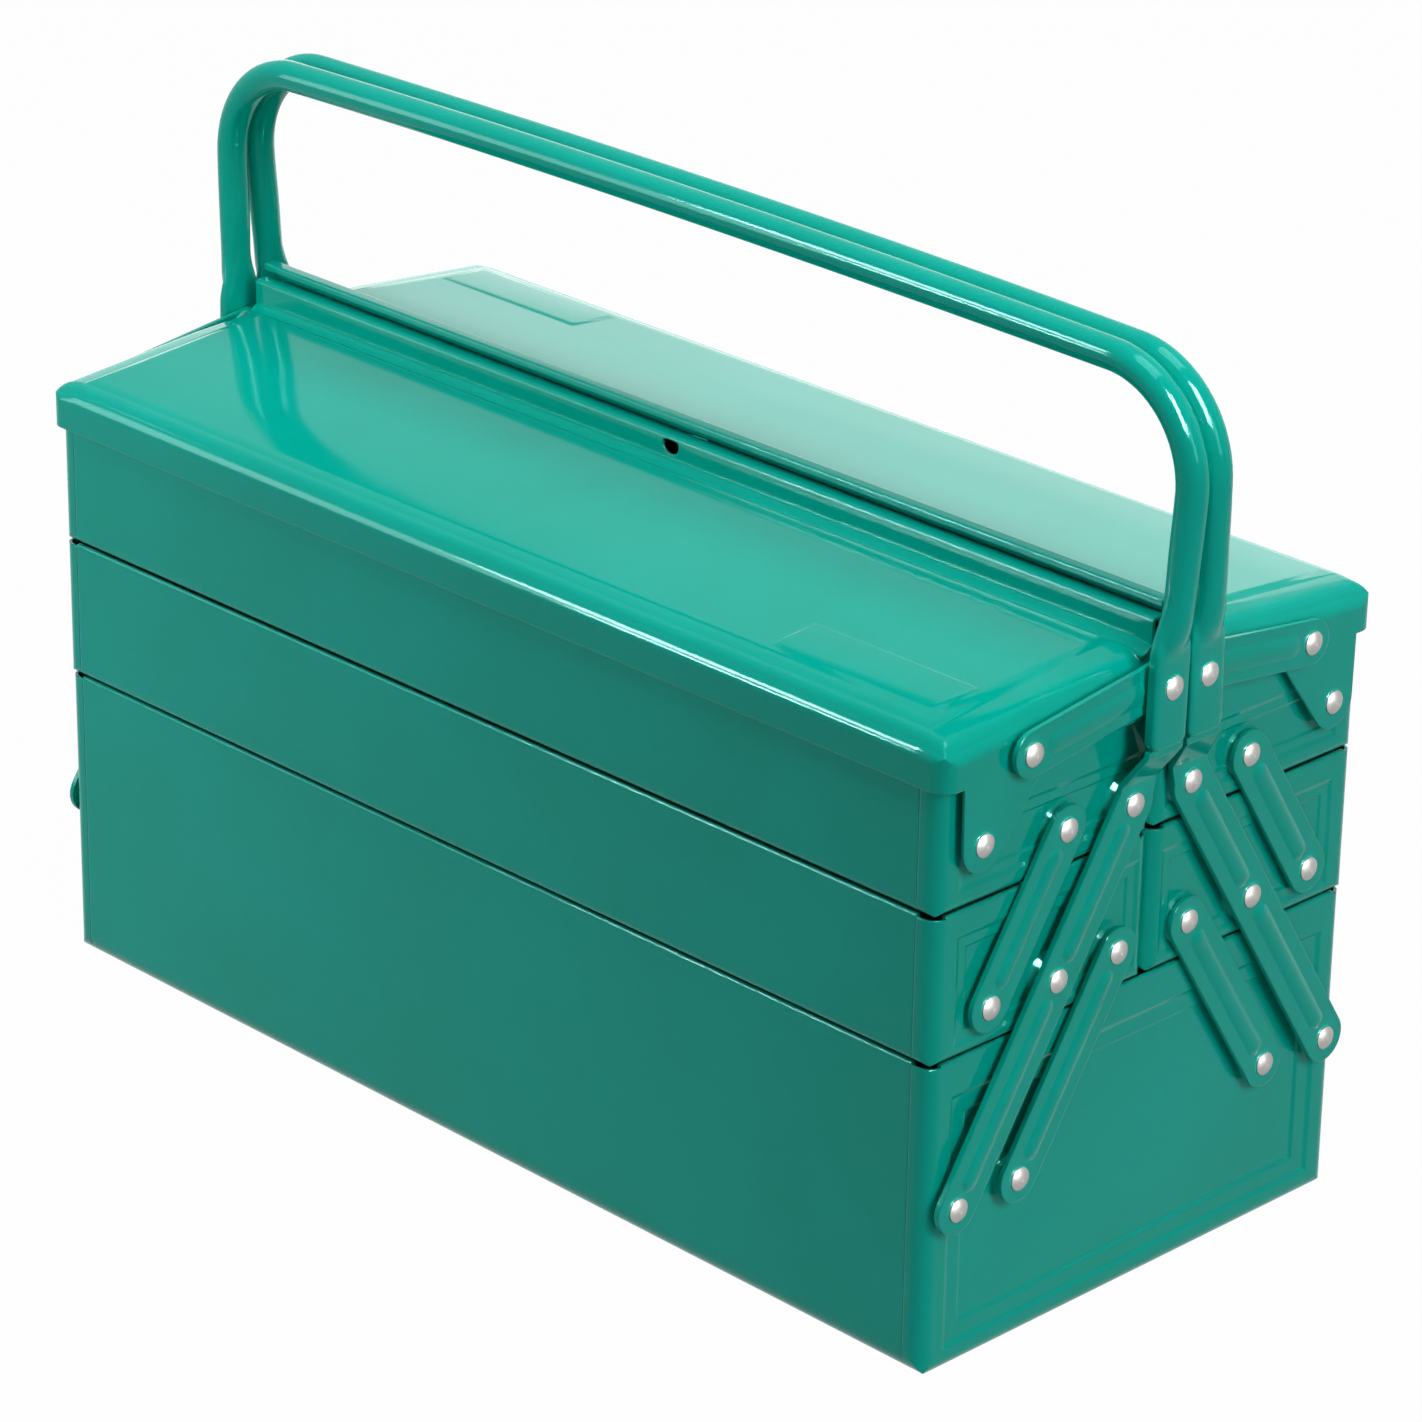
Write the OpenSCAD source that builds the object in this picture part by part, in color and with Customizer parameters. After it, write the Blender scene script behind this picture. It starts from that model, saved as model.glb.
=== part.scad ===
// Cantilever tool box: five steel trays, two lids and two carrying handles on folding arms.
// X runs along the box, Y across it and Z up. The origin is the middle of the base on the floor.
// Each side is drawn once: v is the distance outward from the middle plane, and the front is mirrored.

/* [Box] */
// Length over the ends of the middle and top trays
box_l = 434.6; // [380:1:520]
// Width over the closed middle and top trays
box_w = 202.4; // [184:1:240]
// Thickness of the tray and lid sheet
sheet = 1; // [0.8:0.1:1.2]
// Gap between the front and back trays when closed
centre_gap = 0.6; // [0.4:0.1:1]

/* [Trays] */
// Height of the base tray
base_h = 112.6; // [100:0.1:150]
// How much the base stands in from the trays above, on each side and end
base_inset = 0.4; // [0.2:0.1:1.4]
// Height of a middle tray
mid_h = 51.6; // [46:0.1:70]
// Height of a top tray
top_h = 49.7; // [44:0.1:60]
// Gap between one rim and the tray that rests over it
stack_gap = 0.3; // [0.3:0.1:0.8]
// Outer bend radius along the long bottom edges of the base tray
bend_r = 8; // [5:0.5:10]
// Outer radius of the bottom edges of the middle and top trays
tray_bend_r = 3; // [2.8:0.1:5]
// Outer radius of the upright corners of the end caps
corner_r = 5.5; // [4:0.5:8]
// Outer radius of the bottom edge of the base end caps
floor_r = 5; // [3:0.5:7]
// Length of the flange by which an end cap laps the wrapped sheet
cap_lap = 8; // [8:0.5:12]
// Height of the folded hem along the rims
hem_h = 7; // [4:0.5:10]

/* [End panels] */
// Depth of each step of the pressed frame in the base end panels
base_step = 0.9; // [0.5:0.1:1.2]
// Depth of each step of the pressed frame in the upper end panels
tray_step = 0.6; // [0.3:0.1:1]
// Run of each sloped step
step_run = 1.6; // [1:0.1:2]
// Radius of a pivot boss where it leaves the panel
boss_r = 9.5; // [9:0.1:11]
// Radius of the flat top of a pivot boss
boss_top_r = 7; // [6:0.1:8]

/* [Lid] */
// Height of a lid from the edge of its skirt to its top face
lid_h = 15.6; // [15:0.1:22]
// How far the skirt hangs down over the rim of the top tray
lid_lap = 6.4; // [4:0.1:8]
// Gap between the long skirt and the tray side
lid_gap = 0.6; // [0.4:0.1:1]
// Gap between the end skirt and the tray end
end_gap = 2.7; // [2.4:0.1:4]
// Outer radius of the lid edges
lid_r = 6.5; // [4:0.5:6.5]
// Height of the raised panel above the lid top
panel_rise = 0.7; // [0.4:0.1:1.2]
// Border between the lid end and the raised panel
panel_margin = 12.8; // [9:0.1:16]
// Border between the long lid edge and the raised panel
panel_side = 7.1; // [6.8:0.1:14]
// Run of the sloped border of the raised panel
panel_run = 3.2; // [1:0.1:4]
// Distance of the ridge wall from the middle plane
ridge_v = 7.3; // [6:0.1:9]
// Height of the ridge ledge above the lid top
ridge_h = 17.1; // [14:0.1:20]
// Radius of the sweep from the lid top up into the ridge
ridge_sweep = 4.7; // [3:0.1:5]
// How far the lip of the back lid reaches over the middle plane
lip_reach = 3.1; // [2:0.1:3.5]
// Clear height between the front ledge and the lip over it
lip_gap = 2.6; // [2.5:0.1:4]
// Radius of the padlock hole in each ridge wall
padlock_r = 4; // [3:0.1:4.5]

/* [Arms and links] */
// Distance of the long arm plane from the tray ends
arm_stand = 2; // [1.6:0.1:3]
// Thickness of the long arms
arm_t = 2; // [1.6:0.1:2.5]
// Width of the long arms
arm_w = 17.5; // [15:0.5:19]
// Thickness of the short links
link_t = 1.8; // [1.4:0.1:2.2]
// Width of the short links
link_w = 17; // [14:0.5:18]
// Distance between a long arm pivot and the link pivot level with it
link_offset = 30; // [28:0.5:34]
// Distance of the link plane from the tray ends
link_stand = 1; // [0.8:0.1:2]
// Thickness of the lid levers
lever_t = 1.8; // [1.6:0.1:2.4]
// Width of the lid levers
lever_w = 16; // [14:0.5:16]
// Width of the pressed ribs
rib_w = 7; // [5:0.5:8]
// Height of the pressed ribs on arms and links
rib_h = 1.1; // [0.6:0.1:1.4]
// Height of the pressed rib on a lid lever
lever_rib_h = 0.6; // [0.4:0.1:1]
// Running clearance between neighbouring plates
plate_gap = 0.3; // [0.2:0.1:0.4]

/* [Handles] */
// Diameter of the handle tube
tube_d = 11.5; // [10:0.1:11.5]
// Gap between the two handle tubes when closed
tube_gap = 0.2; // [0.2:0.1:0.6]
// Distance from the tray ends to the middle of the handle legs
leg_stand = 15.2; // [14.6:0.1:22]
// Height of the handle bar above the handle pivot
bar_rise = 103.7; // [90:0.1:130]
// Bend radius of the handle corners at the middle of the tube
handle_bend = 34; // [20:1:45]
// Width of the flattened foot of a handle leg
foot_w = 16; // [14:0.1:16.2]
// Thickness of the flattened foot
foot_t = 5; // [4.6:0.1:6]
// Lean of the handle foot towards the middle, in degrees
foot_lean = 1; // [0:0.5:1.5]

/* [Rivets] */
// Radius of the rivet shanks
rivet_r = 2.5; // [2:0.1:3]
// Running clearance between a shank and its hole
hole_gap = 0.05; // [0.03:0.01:0.08]
// Radius of the domed rivet heads
head_r = 4; // [3.6:0.1:5]
// Height of the domed rivet heads
head_h = 2; // [1.5:0.1:2.2]
// Radius of the riveted tails
tail_r = 3.7; // [3.4:0.1:3.8]
// Height of the riveted tails
tail_h = 1.4; // [1:0.1:1.4]
// Radius of the loose washers behind the plates
washer_r = 5.2; // [4.8:0.1:5.4]

/* [Hidden] */

$fn = 64;
FRONT = -1;
BACK = 1;
LEFT = -1;
RIGHT = 1;
enamel = "#009a84";
steel = "#c4c6c8";
cut = 1;                                    // how far a cutter runs past the face that it opens

half_l = box_l / 2;
half_w = box_w / 2;
base_half_l = half_l - base_inset;
base_half_w = half_w - base_inset;
tray_v0 = centre_gap / 2;
seat = 0.1;                                 // gap between a cap flange and the sheet inside it

// levels of the stacked trays and the lid
mid_z = base_h + stack_gap;
mid_rim = mid_z + mid_h;
top_z = mid_rim + stack_gap;
top_rim = top_z + top_h;
lid_z = top_rim - lid_lap;
lid_top = lid_z + lid_h;
lid_v1 = half_w + lid_gap + sheet;
lid_x1 = half_l + end_gap + sheet;

// pivots of one side as [v, z]; arms and links make parallelograms, so the trays stay level
arm_foot = [base_half_w - 10.6, base_h - 51.6];
arm_head = [13.9, top_z + 14.4];
arm_share = 0.565;                          // where the middle tray pivot lies along the long arm
arm_mid = arm_foot + arm_share * (arm_head - arm_foot);
lower_link_foot = arm_foot - [link_offset, 0];
lower_link_head = arm_mid - [link_offset, 0];
upper_link_foot = arm_mid + [link_offset, 0];
upper_link_head = arm_head + [link_offset, 0];
lid_pivot = [half_w - 17.4, top_z + 21.7];
lever_pivot = [lid_pivot[0] - 17.1, lid_top - 10.3];
foot_pivot = [foot_w / 2 + 0.4, lid_top - 2.7];

// planes along X, as distances out from the tray ends
arm_in = arm_stand;
arm_out = arm_in + arm_t;
link_out = link_stand + link_t;
wide_washer_r = 7.2;
wide_washer_t = 0.7;
wide_tail_h = 0.8;
lever_in = end_gap + sheet + plate_gap + wide_tail_h + wide_washer_t + plate_gap / 3;
lever_out = lever_in + lever_t;
foot_in = lever_out + lever_rib_h + plate_gap / 2;
foot_out = foot_in + foot_t;
foot_mid = (foot_in + foot_out) / 2;
tongue_in = foot_mid - arm_t / 2;
lever_slack = 2.2;                          // free play of the lever on the handle rivet, hidden by the foot
wide_washer_in = lever_in - plate_gap / 3 - wide_washer_t;
hole_r = rivet_r + hole_gap;

// frame of the end panels: [side, centre side, bottom, top] margins of the outer and inner step
base_frame = [10.5, 10.5, 8, 13];
mid_frame = [10.5, 5.2, 4, 8.5];
top_frame = [10.5, 5.2, 6, 20];
base_frame_step = 6.5;
tray_frame_step = 4;

// the lid ear that reaches down to the lid pivot
ear_r = 9.4;
ear_outer = [lid_pivot[0] + ear_r + 0.4, lid_z + 2];
ear_inner = [lid_pivot[0] - 28.5, lid_z + 0.4];

// the label panel pressed into each lid, near one end
label_l = 72;
label_w = 22;
label_run = 2;
label_end_gap = 3.3;
label_side_gap = 3.1;
label_rise = 0.5;
padlock_z = lid_top + 10.9;

// handle foot and leg
foot_below = 20.5;
foot_above = 11;
tongue_w = 13;
tongue_gap = 0.2;
tube_v = (tube_d + tube_gap) / 2;
bar_z = foot_pivot[1] + bar_rise;
leg_x = half_l + leg_stand;
leg_blend = 28;                             // length of leg over which the tube flattens
leg_sides = 32;
leg_rings = 10;
foot_axis = [-sin(foot_lean), cos(foot_lean)];
foot_top = foot_pivot + foot_above * foot_axis;

// ---- drawing helpers ----

// Children drawn in the YZ plane, run from x0 to x1
module along_x(x0, x1) {
    translate([x0, 0, 0]) rotate([90, 0, 90]) linear_extrude(x1 - x0) children();
}

// Children drawn in the XZ plane, run from y0 to y1
module along_y(y0, y1) {
    translate([0, y1, 0]) rotate([90, 0, 0]) linear_extrude(y1 - y0) children();
}

// Children drawn in the XY plane, run from z0 to z1
module along_z(z0, z1) {
    translate([0, 0, z0]) linear_extrude(z1 - z0) children();
}

module rect(a, b) {
    translate(a) square(b - a);
}

// Children drawn for the back and the right, put on the given side and end
module place(side, end) {
    mirror([0, side == FRONT ? 1 : 0, 0]) mirror([end == LEFT ? 1 : 0, 0, 0]) children();
}

module both_ends() {
    for (end = [0, 1]) mirror([end, 0, 0]) children();
}

// A round bar along X at p = [v, z]
module pin(p, x0, x1, r) {
    translate([x0, p[0], p[1]]) rotate([0, 90, 0]) cylinder(h = x1 - x0, r = r);
}

module cone(p, x0, x1, r0, r1) {
    translate([x0, p[0], p[1]]) rotate([0, 90, 0]) cylinder(h = x1 - x0, r1 = r0, r2 = r1);
}

// A rivet through the stack from x0 to x1: round head with a short rim outside, flatter tail inside
module rivet(p, x0, x1, tail = tail_h) {
    rim = 0.5;
    head_ball = (head_r * head_r + (head_h - rim) * (head_h - rim)) / (2 * (head_h - rim));
    tail_ball = (tail_r * tail_r + tail * tail) / (2 * tail);
    length = x1 - x0;
    translate([x0, p[0], p[1]]) rotate([0, 90, 0]) rotate_extrude() {
        rect([0, -tail / 2], [rivet_r, length + rim]);
        rect([0, length], [head_r, length + rim]);
        intersection() {
            translate([0, length + head_h - head_ball]) circle(head_ball);
            rect([0, length + rim], [head_r, length + head_h]);
        }
        intersection() {
            translate([0, tail_ball - tail]) circle(tail_ball);
            rect([0, -tail], [tail_r, 0]);
        }
    }
}

module washer(p, x0, x1, r = washer_r) {
    difference() {
        pin(p, x0, x1, r);
        pin(p, x0 - cut, x1 + cut, hole_r);
    }
}

// ---- trays ----

// A U outline with round bottom corners, v0 to v1 wide and z0 to z1 high
module tub(v0, v1, z0, z1, r) {
    rect([v0, z0 + r], [v1, z1]);
    rect([v0 + r, z0], [v1 - r, z1]);
    for (v = [v0 + r, v1 - r]) translate([v, z0 + r]) circle(r);
}

// The same outline as a sheet of thickness t whose outer face lies in by inset
module tub_sheet(v0, v1, z0, z1, inset, t, bend) {
    difference() {
        tub(v0 + inset, v1 - inset, z0 + inset, z1, bend - inset);
        tub(v0 + inset + t, v1 - inset - t, z0 + inset + t, z1 + cut, bend - inset - t);
    }
}

// The hem folded to the inside of the two long walls, with a round top
module wall_hems(v0, v1, z1) {
    for (s = [[v0, 1], [v1, -1]]) {
        v = s[0] + s[1] * sheet;
        rect([min(v, v + s[1] * sheet), z1 - hem_h], [max(v, v + s[1] * sheet), z1 - sheet]);
        translate([v, z1 - sheet]) circle(sheet);
    }
}

// Bottom and long walls of a tray in one bent sheet, stepped in at each end to lie inside the caps
module wrap(v0, v1, z0, z1, end_x, bend) {
    seam = end_x - cap_lap - seat;
    along_x(-seam, seam) {
        tub_sheet(v0, v1, z0, z1 - sheet, 0, sheet, bend);
        wall_hems(v0, v1, z1);
    }
    both_ends() {
        along_x(seam - 3, seam) tub_sheet(v0, v1, z0, z1 - hem_h - seat, 0, 2 * sheet + seat, bend);
        along_x(seam - 3, end_x - corner_r) {
            tub_sheet(v0, v1, z0, z1 - hem_h - seat, sheet + seat, sheet, bend);
        }
    }
}

// The solid that fills an end cap, set in by inset on every closed side
module cap_fill(v0, v1, z0, z1, end_x, inset, x0, bend, floor_edge) {
    intersection() {
        along_x(x0, end_x - inset) tub(v0 + inset, v1 - inset, z0 + inset, z1, bend - inset);
        along_z(z0, z1) {
            r = corner_r - inset;
            rect([x0 - cut, v0 + inset], [end_x - inset - r, v1 - inset]);
            rect([x0 - cut, v0 + inset + r], [end_x - inset, v1 - inset - r]);
            for (v = [v0 + inset + r, v1 - inset - r]) translate([end_x - inset - r, v]) circle(r);
        }
        along_y(v0, v1) {
            r = floor_edge - inset;
            rect([x0 - cut, z0 + inset], [end_x - inset - r, z1]);
            rect([x0 - cut, z0 + inset + r], [end_x - inset, z1]);
            translate([end_x - inset - r, z0 + inset + r]) circle(r);
        }
    }
}

// A shallow four-sided recess with sloped sides, sunk inward from the plane x
module sink(v0, v1, z0, z1, x, depth) {
    intersection() {
        along_z(z0, z1) polygon([[x + cut, v0], [x, v0], [x - depth, v0 + step_run],
            [x - depth, v1 - step_run], [x, v1], [x + cut, v1]]);
        along_y(v0, v1) polygon([[x + cut, z0], [x, z0], [x - depth, z0 + step_run],
            [x - depth, z1 - step_run], [x, z1], [x + cut, z1]]);
    }
}

// The two-step frame pressed into an end panel, as a recess from the plane x
module frame_sinks(v0, v1, z0, z1, frame, inner, step, x) {
    centre = v0 < 0 ? frame[0] : frame[1];
    for (i = [0, 1]) {
        sink(v0 + centre + i * inner, v1 - frame[0] - i * inner,
            z0 + frame[2] + i * inner, z1 - frame[3] - i * inner, x, (i + 1) * step);
    }
}

// A drawn end cap with its pressed frame; pads stay level with the border and bosses stand out of it
module end_cap(v0, v1, z0, z1, end_x, bend, floor_edge, frame, inner, step, pads, bosses, holes) {
    floor_x = end_x - 2 * step;
    difference() {
        union() {
            difference() {
                cap_fill(v0, v1, z0, z1 - sheet, end_x, 0, end_x - cap_lap, bend, floor_edge);
                cap_fill(v0, v1, z0, z1, end_x, sheet, end_x - cap_lap - cut, bend, floor_edge);
            }
            intersection() {
                cap_fill(v0, v1, z0, z1 - sheet, end_x, sheet, end_x - cap_lap, bend, floor_edge);
                frame_sinks(v0, v1, z0, z1, frame, inner, step, end_x - sheet);
            }
            along_y(v0 + corner_r, v1 - corner_r) {
                rect([end_x - 2 * sheet, z1 - hem_h], [end_x - sheet, z1 - sheet]);
                translate([end_x - sheet, z1 - sheet]) circle(sheet);
            }
        }
        difference() {
            frame_sinks(v0, v1, z0, z1, frame, inner, step, end_x);
            for (p = pads) pin(p, floor_x - cut, end_x + cut, boss_top_r);
            for (b = bosses) cone(b[0], floor_x - sheet, end_x + b[1] - plate_gap, boss_r, boss_top_r);
        }
        for (p = pads) pin(p, floor_x - 2 * sheet - cut, end_x - sheet, boss_top_r - sheet);
        for (p = holes) pin(p, floor_x - 2 * sheet - cut, end_x + cut, hole_r);
        for (b = bosses) cone(b[0], floor_x - 2 * sheet, end_x + b[1] - plate_gap - sheet,
            boss_r - sheet + 0.7, boss_top_r - sheet);
        for (b = bosses) pin(b[0], floor_x - 2 * sheet, end_x + b[1] + cut, hole_r);
    }
    difference() {
        for (b = bosses) cone(b[0], floor_x - sheet / 2, end_x + b[1] - plate_gap, boss_r, boss_top_r);
        for (b = bosses) cone(b[0], floor_x - 2 * sheet, end_x + b[1] - plate_gap - sheet,
            boss_r - sheet + 0.7, boss_top_r - sheet);
        for (b = bosses) pin(b[0], floor_x - 2 * sheet, end_x + b[1] + cut, hole_r);
    }
}

module base_wrap() {
    color(enamel) wrap(-base_half_w, base_half_w, 0, base_h, base_half_l, bend_r);
}

module base_cap(end) {
    pivots = [for (s = [-1, 1]) each [[s * arm_foot[0], arm_foot[1]], [s * lower_link_foot[0], arm_foot[1]]]];
    color(enamel) place(BACK, end) end_cap(-base_half_w, base_half_w, 0, base_h, base_half_l,
        bend_r, floor_r, base_frame, base_frame_step, base_step, pivots, [], pivots);
}

// Rivets that carry the long arms and the lower links
module base_rivets() {
    color(steel) for (side = [FRONT, BACK], end = [LEFT, RIGHT]) place(side, end) {
        rivet(arm_foot, base_half_l - sheet, half_l + arm_out + plate_gap / 3);
        rivet(lower_link_foot, base_half_l - sheet, half_l + link_out + plate_gap / 3);
    }
}

module base_washers() {
    color(steel) for (side = [FRONT, BACK], end = [LEFT, RIGHT]) place(side, end) {
        washer(arm_foot, base_half_l, half_l + arm_in - plate_gap / 3);
        washer(lower_link_foot, base_half_l, half_l + link_stand - plate_gap / 3);
    }
}

module mid_wrap(side) {
    color(enamel) place(side, RIGHT) wrap(tray_v0, half_w, mid_z, mid_rim, half_l, tray_bend_r);
}

module mid_cap(side, end) {
    color(enamel) place(side, end) end_cap(tray_v0, half_w, mid_z, mid_rim, half_l,
        tray_bend_r, tray_bend_r, mid_frame, tray_frame_step, tray_step, [],
        [[arm_mid, arm_in], [lower_link_head, link_stand]], [upper_link_foot]);
}

// Rivets at the long arm, at the head of the lower link and at the foot of the upper link
module mid_rivets(side) {
    color(steel) for (end = [LEFT, RIGHT]) place(side, end) {
        rivet(arm_mid, half_l + arm_in - plate_gap - sheet, half_l + arm_out + plate_gap / 3);
        rivet(lower_link_head, half_l + link_stand - plate_gap - sheet, half_l + link_out + plate_gap / 3);
        rivet(upper_link_foot, half_l - 2 * tray_step - sheet, half_l + link_out + plate_gap / 3);
    }
}

module mid_washers(side) {
    color(steel) for (end = [LEFT, RIGHT]) place(side, end) {
        washer(upper_link_foot, half_l - 2 * tray_step, half_l + link_stand - plate_gap / 3);
    }
}

module top_wrap(side) {
    color(enamel) place(side, RIGHT) wrap(tray_v0, half_w, top_z, top_rim, half_l, tray_bend_r);
}

module top_cap(side, end) {
    color(enamel) place(side, end) end_cap(tray_v0, half_w, top_z, top_rim, half_l,
        tray_bend_r, tray_bend_r, top_frame, tray_frame_step, tray_step, [lid_pivot],
        [[arm_head, arm_in], [upper_link_head, link_stand]], [lid_pivot]);
}

// Rivets at the long arm, at the head of the upper link and at the lid ear
module top_rivets(side) {
    color(steel) for (end = [LEFT, RIGHT]) place(side, end) {
        rivet(arm_head, half_l + arm_in - plate_gap - sheet, half_l + arm_out + plate_gap / 3);
        rivet(upper_link_head, half_l + link_stand - plate_gap - sheet, half_l + link_out + plate_gap / 3);
        rivet(lid_pivot, half_l - sheet, lid_x1 + plate_gap / 3);
    }
}

module top_washers(side) {
    color(steel) for (end = [LEFT, RIGHT]) place(side, end) {
        washer(lid_pivot, half_l, half_l + end_gap - plate_gap / 3);
    }
}

// ---- lids ----

// Point where a line from p touches the circle of radius r around c, on the side s
function touch(c, r, p, s) =
    let (d = p - c, a = atan2(d[1], d[0]), b = acos(r / norm(d))) c + r * [cos(a + s * b), sin(a + s * b)];

// The solid that fills a lid, set in by inset on its top, ends and long side
module lid_fill(inset, z0, v0) {
    r = lid_r - inset;
    v1 = lid_v1 - inset;
    x1 = lid_x1 - inset;
    z1 = lid_top - inset;
    intersection() {
        along_x(-x1, x1) {
            rect([v0, z0], [v1, z1 - r]);
            rect([v0, z0], [v1 - r, z1]);
            translate([v1 - r, z1 - r]) circle(r);
        }
        along_y(v0, v1) {
            rect([-x1, z0], [x1, z1 - r]);
            rect([r - x1, z0], [x1 - r, z1]);
            for (x = [r - x1, x1 - r]) translate([x, z1 - r]) circle(r);
        }
        along_z(z0, z1) {
            rect([-x1, v0], [x1, v1 - r]);
            rect([r - x1, v0], [x1 - r, v1]);
            for (x = [r - x1, x1 - r]) translate([x, v1 - r]) circle(r);
        }
    }
}

// A low panel with sloped sides, raised by rise above the plane z
module raised(x0, x1, v0, v1, z, rise, run) {
    intersection() {
        along_y(v0, v1) polygon([[x0, z - cut / 2], [x0, z], [x0 + run, z + rise],
            [x1 - run, z + rise], [x1, z], [x1, z - cut / 2]]);
        along_x(x0, x1) polygon([[v0, z - cut / 2], [v0, z], [v0 + run, z + rise],
            [v1 - run, z + rise], [v1, z], [v1, z - cut / 2]]);
    }
}

// The pressed panel and the label panel on it, drawn on the plane z
module lid_panels(z, label_end) {
    panel_x = lid_x1 - panel_margin;
    panel_v = lid_v1 - panel_side;
    label_x1 = panel_x - panel_run - label_end_gap;
    label_v1 = panel_v - panel_run - label_side_gap;
    raised(-panel_x, panel_x, ridge_v + ridge_sweep + 1.5, panel_v, z, panel_rise, panel_run);
    mirror([label_end == LEFT ? 1 : 0, 0, 0]) {
        raised(label_x1 - label_l, label_x1, label_v1 - label_w, label_v1,
            z + panel_rise, label_rise, label_run);
    }
}

// Section of the ridge: a concave sweep, a wall and a ledge with a round edge; the inner edge is at v0
module ridge_section(v0) {
    sweep = [ridge_v + ridge_sweep, lid_top + ridge_sweep];
    edge_r = 1.5;
    ledge = lid_top + ridge_h;
    intersection() {
        difference() {
            translate(sweep) circle(ridge_sweep + sheet);
            translate(sweep) circle(ridge_sweep);
        }
        rect(sweep - (ridge_sweep + 2 * sheet) * [1, 1], sweep + [0.5, 0]);
    }
    rect([ridge_v - sheet, sweep[1]], [ridge_v, ledge - edge_r]);
    intersection() {
        difference() {
            translate([ridge_v - edge_r, ledge - edge_r]) circle(edge_r);
            translate([ridge_v - edge_r, ledge - edge_r]) circle(edge_r - sheet);
        }
        rect([ridge_v - edge_r, ledge - edge_r], [ridge_v, ledge]);
    }
    rect([v0, ledge - sheet], [ridge_v - edge_r, ledge]);
}

// Section of the fold that carries the back ledge up and over the front one
module lip_section(v0) {
    ledge = lid_top + ridge_h;
    hem_z = ledge + lip_gap;
    lip_z = hem_z + 2.8;
    rect([v0, ledge - sheet], [v0 + sheet, lip_z - sheet]);
    rect([-lip_reach + sheet, lip_z - sheet], [v0, lip_z]);
    rect([-lip_reach, hem_z + sheet / 2], [sheet - lip_reach, lip_z - sheet]);
    translate([v0, lip_z - sheet]) circle(sheet);
    translate([sheet - lip_reach, lip_z - sheet]) circle(sheet);
    translate([sheet / 2 - lip_reach, hem_z + sheet / 2]) circle(sheet / 2);
}

module ear_outline() {
    translate(lid_pivot) circle(ear_r);
    polygon([lid_pivot, touch(lid_pivot, ear_r, ear_inner, 1), ear_inner, [ear_inner[0], lid_z + 2 * sheet],
        [ear_outer[0], lid_z + 2 * sheet], ear_outer, touch(lid_pivot, ear_r, ear_outer, -1)]);
}

// A lid with its skirt, pressed panels, ridge and two ears
module lid(side) {
    label_end = side == FRONT ? RIGHT : LEFT;
    ridge_x = lid_x1 - 1.5;
    v_edge = 1.2;
    color(enamel) place(side, RIGHT) difference() {
        union() {
            difference() {
                union() {
                    lid_fill(0, lid_z, tray_v0);
                    lid_panels(lid_top, label_end);
                }
                difference() {
                    lid_fill(sheet, lid_z - cut, tray_v0 - cut);
                    translate([-lid_x1, 0, lid_top - 2 * sheet]) cube([cut, cut, cut]);
                }
                lid_panels(lid_top - sheet, label_end);
                translate([lid_r - lid_x1, tray_v0 - cut, lid_top - sheet - cut]) {
                    cube([2 * (lid_x1 - lid_r), ridge_v + ridge_sweep - tray_v0 + cut, 2 * cut + sheet]);
                }
            }
            along_x(-ridge_x, ridge_x) {
                ridge_section(v_edge);
                if (side == BACK) lip_section(v_edge);
            }
            both_ends() along_x(half_l + end_gap, lid_x1) ear_outline();
        }
        both_ends() {
            pin(lid_pivot, half_l, lid_x1 + cut, hole_r);
            pin(lever_pivot, half_l, lid_x1 + cut, hole_r);
        }
        translate([0, ridge_v + cut, padlock_z]) rotate([90, 0, 0]) {
            cylinder(h = sheet + 2 * cut, r = padlock_r);
        }
    }
}

// Rivets and washers that carry the lid levers
module lid_rivets(side) {
    color(steel) for (end = [LEFT, RIGHT]) place(side, end) {
        rivet(lever_pivot, half_l + end_gap, half_l + lever_out + plate_gap / 3);
        washer(lever_pivot, lid_x1, half_l + lever_in - plate_gap / 3);
    }
}

// ---- arms, links and levers ----

// A flat bar with round ends from p to q, in the YZ plane; its sides meet the ends just inside them
module strip(p, q, w) {
    d = q - p;
    side_w = w - 0.01;
    for (c = [p, q]) translate(c) circle(w / 2);
    translate(p) rotate(atan2(d[1], d[0])) translate([0, -side_w / 2]) square([norm(d), side_w]);
}

// A round-ended rib between a and b whose crest stands h above the plane x
module rib(a, b, x, w, h) {
    r = (w * w / 4 + h * h) / (2 * h);
    d = b - a;
    translate([x + h - r, a[0], a[1]]) rotate([atan2(-d[0], d[1]), 0, 0]) {
        cylinder(h = norm(d), r = r);
        sphere(r);
        translate([0, 0, norm(d)]) sphere(r);
    }
}

// Children: a plate between x0 and x1; gets a rib pressed outward between a and b
module ribbed(a, b, x0, x1, w, h) {
    difference() {
        union() {
            children();
            intersection() {
                rib(a, b, x1, w, h);
                translate([(x0 + x1) / 2, -box_w, 0]) cube([x1 - x0 + 2 * h, 2 * box_w, 4 * box_w]);
            }
        }
        intersection() {
            rib(a, b, x0, w, h);
            translate([x0 - cut, -box_w, 0]) cube([cut + 2 * h, 2 * box_w, 4 * box_w]);
        }
    }
}

// A link from foot to head, with a rib that stops short of both rivets
module link(foot, head) {
    along = (head - foot) / norm(head - foot);
    stop = head_r + rib_w / 2 + 2.5;
    x0 = half_l + link_stand;
    difference() {
        ribbed(foot + stop * along, head - stop * along, x0, x0 + link_t, rib_w, rib_h) {
            along_x(x0, x0 + link_t) strip(foot, head, link_w);
        }
        for (p = [foot, head]) pin(p, x0 - cut, x0 + link_t + cut, hole_r);
    }
}

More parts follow.
